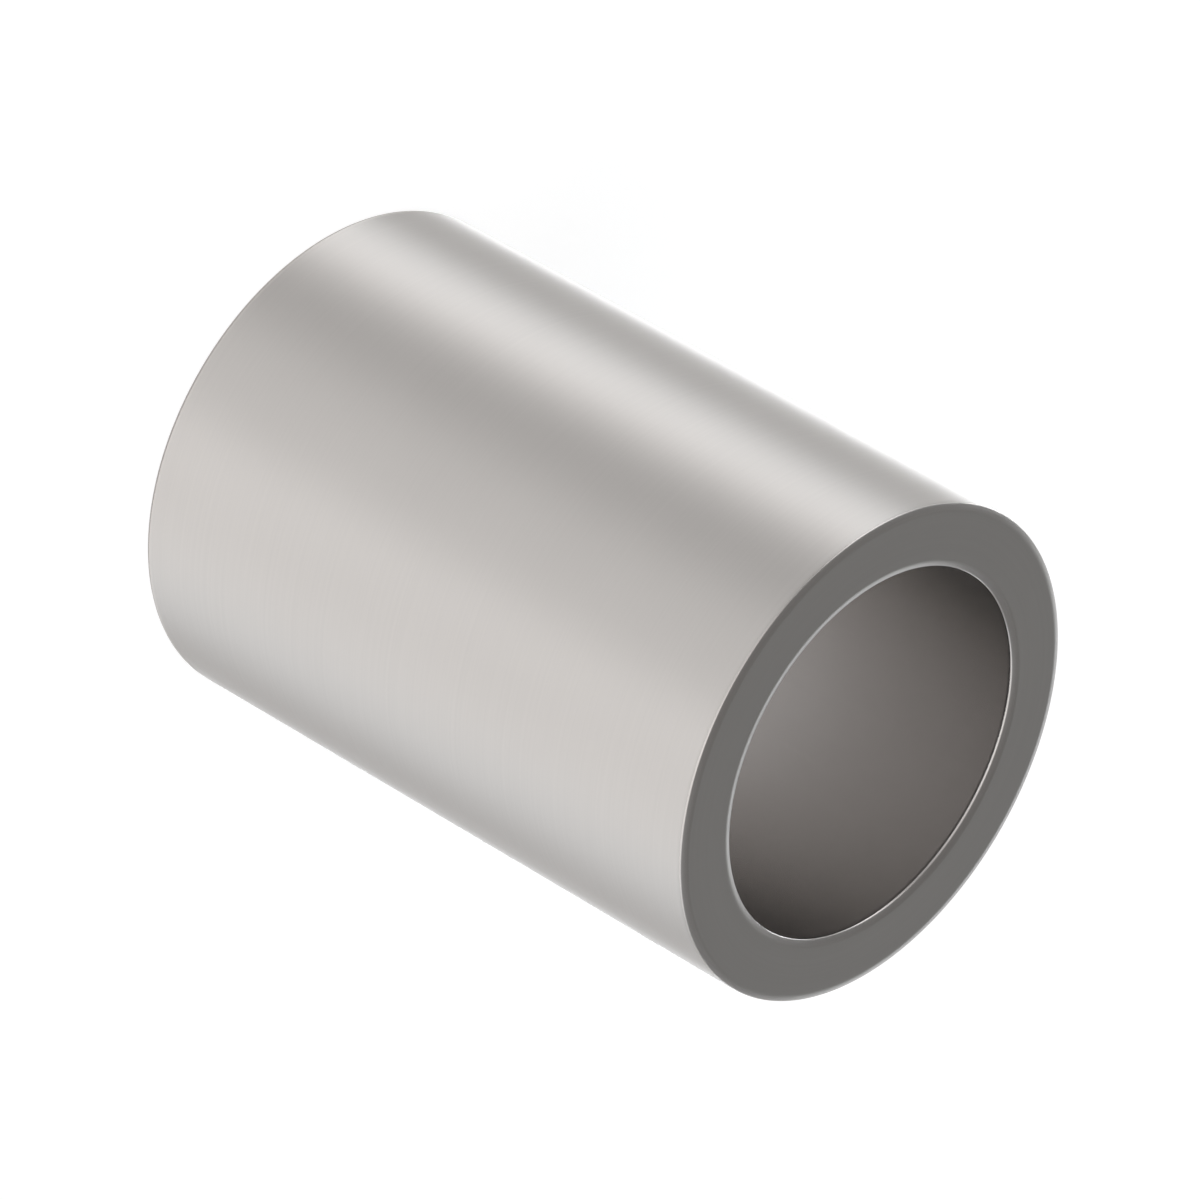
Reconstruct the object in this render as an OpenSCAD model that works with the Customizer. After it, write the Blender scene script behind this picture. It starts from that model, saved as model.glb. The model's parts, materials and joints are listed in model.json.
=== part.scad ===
// Spacer sleeve: a plain metal tube that keeps two parts a fixed distance apart round a screw.
// It is cut from drawn tube and finely ground outside. Both ends are faced square, and each rim is broken
// with a small radius.
// It stands on its lower end: +Z runs along the bore, and the origin is the centre of the lower end face.

/* [Tube] */
// Outside diameter of the tube
outer_d = 12; // [10:0.5:24]
// Diameter of the through bore, a clearance hole for an 8 mm screw
bore_d = 9; // [4:0.1:11]
// Length between the two end faces, which is the distance that the sleeve keeps
length = 17; // [4:0.5:80]

/* [Edges] */
// Radius of the outer rim at each end
outer_edge_r = 0.1; // [0.05:0.01:0.3]
// Radius of the bore's rim at each end
bore_edge_r = 0.1; // [0.05:0.01:0.2]

/* [Hidden] */
// Number of flats shown round a full circle
$fn = 128;
// Warm light grey of the bare steel
steel_colour = [0.78, 0.77, 0.75];
outer_r = outer_d / 2;
bore_r = bore_d / 2;
wall = outer_r - bore_r;
half_length = length / 2;
// How far a cutter passes beyond the faces that it trims
overrun = 0.05;

// The sliver that a quarter round of radius r leaves in a square corner pointing to +X +Y.
// The origin is the centre of the round.
module corner_waste(r) {
    difference() {
        square(r + overrun);
        circle(r);
    }
}

// Both corners of the wall's section at its upper end, placed for a section centred on the X axis
module end_waste() {
    translate([outer_r - outer_edge_r, half_length - outer_edge_r])
        corner_waste(outer_edge_r);
    translate([bore_r + bore_edge_r, half_length - bore_edge_r])
        mirror([1, 0])
            corner_waste(bore_edge_r);
}

// Section of the tube wall beside the axis: a rectangle with a small round at each corner
module wall_section() {
    difference() {
        translate([bore_r, -half_length])
            square([wall, length]);
        end_waste();
        mirror([0, 1])
            end_waste();
    }
}

// The whole sleeve, its wall section turned once round the bore's axis
module sleeve() {
    color(steel_colour)
        translate([0, 0, half_length])
            rotate_extrude()
                wall_section();
}

sleeve();
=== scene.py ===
import json
import math

import bmesh
import bpy
from mathutils import Matrix, Vector

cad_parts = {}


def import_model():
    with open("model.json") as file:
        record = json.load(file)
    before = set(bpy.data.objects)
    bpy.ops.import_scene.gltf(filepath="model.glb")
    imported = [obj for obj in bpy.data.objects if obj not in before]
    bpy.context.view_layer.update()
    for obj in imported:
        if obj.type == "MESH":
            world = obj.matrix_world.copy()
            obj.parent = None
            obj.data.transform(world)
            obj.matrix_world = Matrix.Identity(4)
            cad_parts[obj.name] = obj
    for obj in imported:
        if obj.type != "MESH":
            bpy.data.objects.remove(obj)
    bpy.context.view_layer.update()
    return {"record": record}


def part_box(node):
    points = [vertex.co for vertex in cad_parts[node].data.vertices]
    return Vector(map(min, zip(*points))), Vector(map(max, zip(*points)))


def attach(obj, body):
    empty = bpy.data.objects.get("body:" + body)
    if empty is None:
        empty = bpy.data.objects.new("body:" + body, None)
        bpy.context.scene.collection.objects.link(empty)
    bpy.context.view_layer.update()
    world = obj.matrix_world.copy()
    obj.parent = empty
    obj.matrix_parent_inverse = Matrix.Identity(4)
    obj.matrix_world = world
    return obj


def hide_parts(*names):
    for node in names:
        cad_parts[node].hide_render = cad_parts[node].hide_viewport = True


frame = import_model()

MM = 0.001

# Sizes of the sleeve, all taken from the frame
low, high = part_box("sleeve")
length = high.z - low.z
outer_r = max(abs(c) for corner in (low, high) for c in corner[:2])
bore_mount = next(m for m in frame["record"]["mounts"] if m["name"] == "bore")
bore_r = bore_mount["dims"]["r_mm"] * MM
rim_r = (length - bore_mount["dims"]["length_mm"] * MM) / 2

# The mesh: segments round the sleeve and round each rim, and spans along the straight parts of the section
ROUND_SEGMENTS = 360
RIM_SEGMENTS = 9
SPAN = 1.0 * MM

# Tumbling has softened the metal beside the rims, so the shading of each straight part leans toward its rims.
# Each pair is the width over which it leans and how far it leans, in degrees.
END_EASE = (0.105 * MM, 20)
WALL_EASE = (0.078 * MM, 19)
EASE_STEPS = 6
# Round a rim the shading turns away from the end face slowly, to LATE_LEAN at LATE_TURN, and then fast, to
# meet the wall. In degrees.
LATE_LEAN = 27
LATE_TURN = 65

# Camera: it aims at the sleeve's middle from the -Y side, and is rolled so that the sleeve's axis runs
# from the upper left of the picture to the lower right
CAMERA_ELEVATION = 35.54
CAMERA_ROLL = -119.48
CAMERA_DISTANCE = 226.5 * MM
CAMERA_LENS = 302.6
CAMERA_SENSOR = 36.0
# It sees from its distance divided by this to its distance times this
CAMERA_RANGE = 100

# Colours, as linear values
WALL_STEEL = (0.678, 0.65, 0.628)
# The end faces take the same steel as the wall, painted darker: painted shade that keeps them dim.
END_STEEL_SHADED = (0.503, 0.476, 0.451)
# The rims take the same steel painted darker still: painted shade that tones down their highlights.
RIM_STEEL_SHADED = (0.481, 0.453, 0.433)
BORE_STEEL = (0.63, 0.612, 0.601)

# Roughness, and how far the marks on the walls stretch their highlights
WALL_ROUGHNESS = 0.573
WALL_STRETCH = 0.963
BORE_ROUGHNESS = 0.26
BORE_STRETCH = 0.75
FLAT_ROUGHNESS = 0.35
QUARTER_TURN = 0.25

# Fine marks: rings on the ground wall and the faced ends, lengthwise lines in the drawn bore, even specks on
# the rims, and over all of them broad faint clouds. Sizes run along X, Y and Z, or along X, Y and the radius.
MARK_WIDTH = 0.045 * MM
MARK_LENGTH = 7 * MM
RING_GRAIN = (MARK_LENGTH, MARK_LENGTH, MARK_WIDTH)
LONG_GRAIN = (MARK_WIDTH, MARK_WIDTH, MARK_LENGTH)
SPECK_GRAIN = (MARK_WIDTH, MARK_WIDTH, MARK_WIDTH)
CLOUD_SIZE = (3 * MM, 3 * MM, 3 * MM)
NOISE_DETAIL = 2
# How far marks and clouds swing the tone and marks the roughness, as shares, and how deep the marks are
MARK_TONE = 0.08
CLOUD_TONE = 0.03
MARK_ROUGHNESS = 0.12
MARK_DEPTH = 0.0003 * MM

# The floor is a round sheet of white paper that glows a little
FLOOR_RADIUS = 3000 * MM
FLOOR_SEGMENTS = 96
PAPER_COLOUR = (0.35, 0.35, 0.35, 1.0)
PAPER_GLOW_COLOUR = (1.0, 1.0, 1.0, 1.0)
PAPER_GLOW = 0.78

# Soft light panels that stand round the table. Each has the direction it stands in, in degrees round from the
# camera's side toward +X, half its width, half the width of each soft edge, the two elevations between which
# its top fades out, and its brightness.
PANELS = {
    "front": (-3, 25, 25, (65, 81), 0.98),
    "right": (66, 40.4, 21.8, (51, 67), 1.45),
    "left_strip": (-85, 10.2, 10.2, (48, 64), 2.5),
    "low_back_left": (-141, 8, 2, (8, 14), 14),
    "low_back_right": (145.5, 5.6, 2.2, (8, 14), 8.6),
    "back": (180, 14, 12, (8, 20), 1.5),
    "high_back": (180, 40, 34, (45, 75), 0.067),
}
# Their light is white in front, shifts a little toward blue between these azimuths, and stays so behind
COOL_BEYOND = (68, 104)
COOL_SHIFT = (-0.06, 0.0, 0.045)
# The room behind the panels is dim, and gets a little lighter overhead between these elevations
DIM_ROOM = 0.15
DIM_CEILING = 0.2
CEILING_RISE = (15, 60)
# A white backdrop runs along the horizon all round, and its top fades out between these elevations
WHITE = 1.0
BACKDROP_TOP = (6, 12)


def straight(start, end, facing, finish, ease):
    """A straight part of the section as (radius, height, shading angle, finish of the stretch that follows).

    Angles are in degrees from straight out toward straight up. The part faces one of them, and its shading
    leans away from that at both ends. Each part of the section leaves its last point to the part that
    follows.
    """
    (r0, z0), (r1, z1) = start, end
    whole = math.hypot(r1 - r0, z1 - z0)
    width, lean = ease
    middle = whole - 2 * width
    spans = max(1, round(middle / SPAN))
    easing = [i / EASE_STEPS for i in range(EASE_STEPS)]
    stops = [(width * e, -lean * (1 - e)) for e in easing]
    stops += [(width + middle * i / spans, 0) for i in range(spans + 1)]
    stops += [(whole - width * e, lean * (1 - e)) for e in reversed(easing)]
    return [
        (r0 + (r1 - r0) * along / whole, z0 + (z1 - z0) * along / whole, facing + leaning, finish)
        for along, leaning in stops[:-1]
    ]


def rim_lean(turn):
    """How far the shading leans from the end face at the point of a rim that has turned this far from it."""
    first, last = END_EASE[1], 90 - WALL_EASE[1]
    if turn < LATE_TURN:
        return first + (LATE_LEAN - first) * turn / LATE_TURN
    return LATE_LEAN + (last - LATE_LEAN) * (turn - LATE_TURN) / (90 - LATE_TURN)


def rim(centre_r, centre_z, start, end_facing):
    """A rim's quarter round from its start angle on, in the same form. The end beside it faces end_facing."""
    points = []
    for i in range(RIM_SEGMENTS):
        angle = start + 90 * i / RIM_SEGMENTS
        turn = angle - end_facing
        shading = end_facing + math.copysign(rim_lean(abs(turn)), turn)
        a = math.radians(angle)
        points.append((centre_r + rim_r * math.cos(a), centre_z + rim_r * math.sin(a), shading, "rim"))
    return points


def tube_profile():
    """Closed section of the tube's wall, once round it, in the same form."""
    outer, inner = outer_r - rim_r, bore_r + rim_r
    bottom, top = low.z + rim_r, high.z - rim_r
    return (
        rim(outer, bottom, -90, -90)
        + straight((outer_r, bottom), (outer_r, top), 0, "wall", WALL_EASE)
        + rim(outer, top, 0, 90)
        + straight((outer, high.z), (inner, high.z), 90, "end", END_EASE)
        + rim(inner, top, 90, 90)
        + straight((bore_r, top), (bore_r, bottom), 180, "bore", WALL_EASE)
        + rim(inner, bottom, 180, 270)
        + straight((inner, low.z), (outer, low.z), 270, "end", END_EASE)
    )


def lathe(name, profile, materials):
    """The profile turned once round the Z axis. Each stretch takes the material that its finish names."""
    slots = list(materials)
    bm = bmesh.new()
    rings, normals = [], []
    for i in range(ROUND_SEGMENTS):
        a = 2 * math.pi * i / ROUND_SEGMENTS
        rings.append([bm.verts.new((r * math.cos(a), r * math.sin(a), z)) for r, z, _, _ in profile])
        for _, _, shading, _ in profile:
            s = math.radians(shading)
            normals.append((math.cos(s) * math.cos(a), math.cos(s) * math.sin(a), math.sin(s)))
    for i, ring in enumerate(rings):
        after = rings[(i + 1) % ROUND_SEGMENTS]
        for j, (_, _, _, finish) in enumerate(profile):
            k = (j + 1) % len(profile)
            face = bm.faces.new((ring[j], after[j], after[k], ring[k]))
            face.material_index = slots.index(finish)
    bmesh.ops.recalc_face_normals(bm, faces=bm.faces)
    mesh = bpy.data.meshes.new(name)
    bm.to_mesh(mesh)
    bm.free()
    mesh.shade_smooth()
    mesh.normals_split_custom_set_from_vertices(normals)
    for material in materials.values():
        mesh.materials.append(material)
    piece = bpy.data.objects.new(name, mesh)
    bpy.context.scene.collection.objects.link(piece)
    return piece


def fill(tree, node, values):
    """Gives a node's inputs, in order, other nodes' outputs or fixed values."""
    for socket, value in zip(node.inputs, values):
        if isinstance(value, bpy.types.NodeSocket):
            tree.links.new(value, socket)
        else:
            socket.default_value = value


def plain_math(tree, operation, *values):
    """A maths node on numbers."""
    node = tree.nodes.new("ShaderNodeMath")
    node.operation = operation
    fill(tree, node, values)
    return node.outputs["Value"]


def vector_math(tree, operation, *values):
    """A maths node on vectors. A number that is linked in counts for all three parts of a vector."""
    node = tree.nodes.new("ShaderNodeVectorMath")
    node.operation = operation
    fill(tree, node, values)
    return node.outputs["Value" if operation in ("DOT_PRODUCT", "LENGTH") else "Vector"]


def fade(tree, value, start, end, first, last):
    """Goes smoothly from the first strength to the last as the value goes from start to end."""
    node = tree.nodes.new("ShaderNodeMapRange")
    node.interpolation_type = "SMOOTHSTEP"
    fill(tree, node, (value, start, end, first, last))
    return node.outputs["Result"]


def noise(tree, sizes, radial=False):
    """Noise from 0 to 1 whose features have these sizes along X, Y and Z, or along X, Y and the radius."""
    place = tree.nodes.new("ShaderNodeTexCoord").outputs["Object"]
    if radial:
        radius = vector_math(tree, "LENGTH", vector_math(tree, "MULTIPLY", place, (1, 1, 0)))
        outward = vector_math(tree, "MULTIPLY", radius, (0, 0, 1))
        place = vector_math(tree, "MULTIPLY_ADD", place, (1, 1, 0), outward)
    node = tree.nodes.new("ShaderNodeTexNoise")
    node.inputs["Scale"].default_value = 1
    node.inputs["Detail"].default_value = NOISE_DETAIL
    tree.links.new(vector_math(tree, "DIVIDE", place, sizes), node.inputs["Vector"])
    return node.outputs["Fac"]


def metal(name, colour, roughness, grain, radial=False, stretch=0.0, turn=0.0):
    """Bare metal. The grain is the size of its fine marks. They vary its tone, roughness and height a little.

    Marks along the sleeve's axis stretch its highlights round it. Rings do the same with a quarter turn.
    """
    material = bpy.data.materials.new(name)
    material.use_nodes = True
    tree = material.node_tree
    shader = tree.nodes["Principled BSDF"]
    shader.inputs["Metallic"].default_value = 1.0

    marks = noise(tree, grain, radial)
    clouds = noise(tree, CLOUD_SIZE)
    tone = plain_math(tree, "MULTIPLY_ADD", marks, MARK_TONE, 1 - (MARK_TONE + CLOUD_TONE) / 2)
    tone = plain_math(tree, "MULTIPLY_ADD", clouds, CLOUD_TONE, tone)
    tree.links.new(vector_math(tree, "MULTIPLY", colour, tone), shader.inputs["Base Color"])
    swing = roughness * MARK_ROUGHNESS
    uneven = plain_math(tree, "MULTIPLY_ADD", marks, swing, roughness - swing / 2)
    tree.links.new(uneven, shader.inputs["Roughness"])
    bump = tree.nodes.new("ShaderNodeBump")
    bump.inputs["Distance"].default_value = MARK_DEPTH
    tree.links.new(marks, bump.inputs["Height"])
    tree.links.new(bump.outputs["Normal"], shader.inputs["Normal"])

    if stretch:
        shader.inputs["Anisotropic"].default_value = stretch
        shader.inputs["Anisotropic Rotation"].default_value = turn
        tangent = tree.nodes.new("ShaderNodeTangent")
        tangent.direction_type = "RADIAL"
        tangent.axis = "Z"
        tree.links.new(tangent.outputs["Tangent"], shader.inputs["Tangent"])
    return material


def floor():
    """A wide sheet of white paper. Its glow keeps it white, and it still takes a soft shadow."""
    bm = bmesh.new()
    bmesh.ops.create_circle(bm, cap_ends=True, radius=FLOOR_RADIUS, segments=FLOOR_SEGMENTS)
    mesh = bpy.data.meshes.new("floor")
    bm.to_mesh(mesh)
    bm.free()
    sheet = bpy.data.objects.new("floor", mesh)
    bpy.context.scene.collection.objects.link(sheet)
    material = bpy.data.materials.new("white_paper")
    material.use_nodes = True
    shader = material.node_tree.nodes["Principled BSDF"]
    shader.inputs["Base Color"].default_value = PAPER_COLOUR
    shader.inputs["Roughness"].default_value = 1.0
    shader.inputs["Specular IOR Level"].default_value = 0.0
    shader.inputs["Emission Color"].default_value = PAPER_GLOW_COLOUR
    shader.inputs["Emission Strength"].default_value = PAPER_GLOW
    mesh.materials.append(material)


def camera():
    """The camera that stands where the photo was taken from."""
    data = bpy.data.cameras.new("camera")
    data.lens = CAMERA_LENS
    data.sensor_width = CAMERA_SENSOR
    data.clip_start = CAMERA_DISTANCE / CAMERA_RANGE
    data.clip_end = CAMERA_DISTANCE * CAMERA_RANGE
    stand = bpy.data.objects.new("camera", data)
    bpy.context.scene.collection.objects.link(stand)
    e = math.radians(CAMERA_ELEVATION)
    forward = Vector((0, math.cos(e), -math.sin(e)))
    right = Matrix.Rotation(math.radians(CAMERA_ROLL), 3, forward) @ Vector((1, 0, 0))
    up = right.cross(forward)
    turn = Matrix((right, up, -forward)).transposed().to_4x4()
    aim = Vector((0, 0, (low.z + high.z) / 2))
    stand.matrix_world = Matrix.Translation(aim - forward * CAMERA_DISTANCE) @ turn
    bpy.context.scene.camera = stand


def sines(angles):
    """The sines of angles in degrees."""
    return [math.sin(math.radians(a)) for a in angles]


def cosines(angles):
    """The cosines of angles in degrees."""
    return [math.cos(math.radians(a)) for a in angles]


def world():
    """A dim room with a white backdrop along the horizon and the soft panels round the table."""
    scene = bpy.context.scene
    scene.world = bpy.data.worlds.new("studio")
    scene.world.use_nodes = True
    tree = scene.world.node_tree
    direction = tree.nodes.new("ShaderNodeTexCoord").outputs["Generated"]
    heading = vector_math(tree, "NORMALIZE", vector_math(tree, "MULTIPLY", direction, (1, 1, 0)))
    split = tree.nodes.new("ShaderNodeSeparateXYZ")
    tree.links.new(direction, split.inputs["Vector"])
    height = split.outputs["Z"]

    glow = 0
    for azimuth, half_width, edge, top, brightness in PANELS.values():
        a = math.radians(azimuth)
        facing = vector_math(tree, "DOT_PRODUCT", heading, (math.sin(a), -math.cos(a), 0))
        panel = fade(tree, facing, *cosines((half_width + edge, half_width - edge)), 0, brightness)
        glow = plain_math(tree, "MULTIPLY_ADD", panel, fade(tree, height, *sines(top), 1, 0), glow)

    front = vector_math(tree, "DOT_PRODUCT", heading, (0, -1, 0))
    beyond = fade(tree, front, *cosines(COOL_BEYOND), 0, 1)
    tint = vector_math(tree, "MULTIPLY_ADD", beyond, COOL_SHIFT, (1, 1, 1))
    room = fade(tree, height, *sines(CEILING_RISE), DIM_ROOM, DIM_CEILING)
    backdrop = fade(tree, height, *sines(BACKDROP_TOP), WHITE, DIM_ROOM)
    colour = vector_math(tree, "MAXIMUM", vector_math(tree, "MULTIPLY_ADD", glow, tint, room), backdrop)
    tree.links.new(colour, tree.nodes["Background"].inputs["Color"])


finishes = {
    "wall": metal(
        "ground_steel", WALL_STEEL, WALL_ROUGHNESS, RING_GRAIN, stretch=WALL_STRETCH, turn=QUARTER_TURN
    ),
    # The rims' steel colour is painted darker than the wall's, as painted shade; their roughness and specks
    # are the tumbled finish.
    "rim": metal("tumbled_steel_painted_shade", RIM_STEEL_SHADED, FLAT_ROUGHNESS, SPECK_GRAIN),
    # The ends' steel colour is painted darker than the wall's, as painted shade.
    "end": metal("faced_steel_painted_shade", END_STEEL_SHADED, FLAT_ROUGHNESS, RING_GRAIN, radial=True),
    "bore": metal("drawn_steel", BORE_STEEL, BORE_ROUGHNESS, LONG_GRAIN, stretch=BORE_STRETCH),
}
sleeve = lathe("steel_sleeve", tube_profile(), finishes)
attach(sleeve, "root")
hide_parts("sleeve")
floor()
camera()
world()
bpy.context.scene.view_settings.view_transform = "Standard"
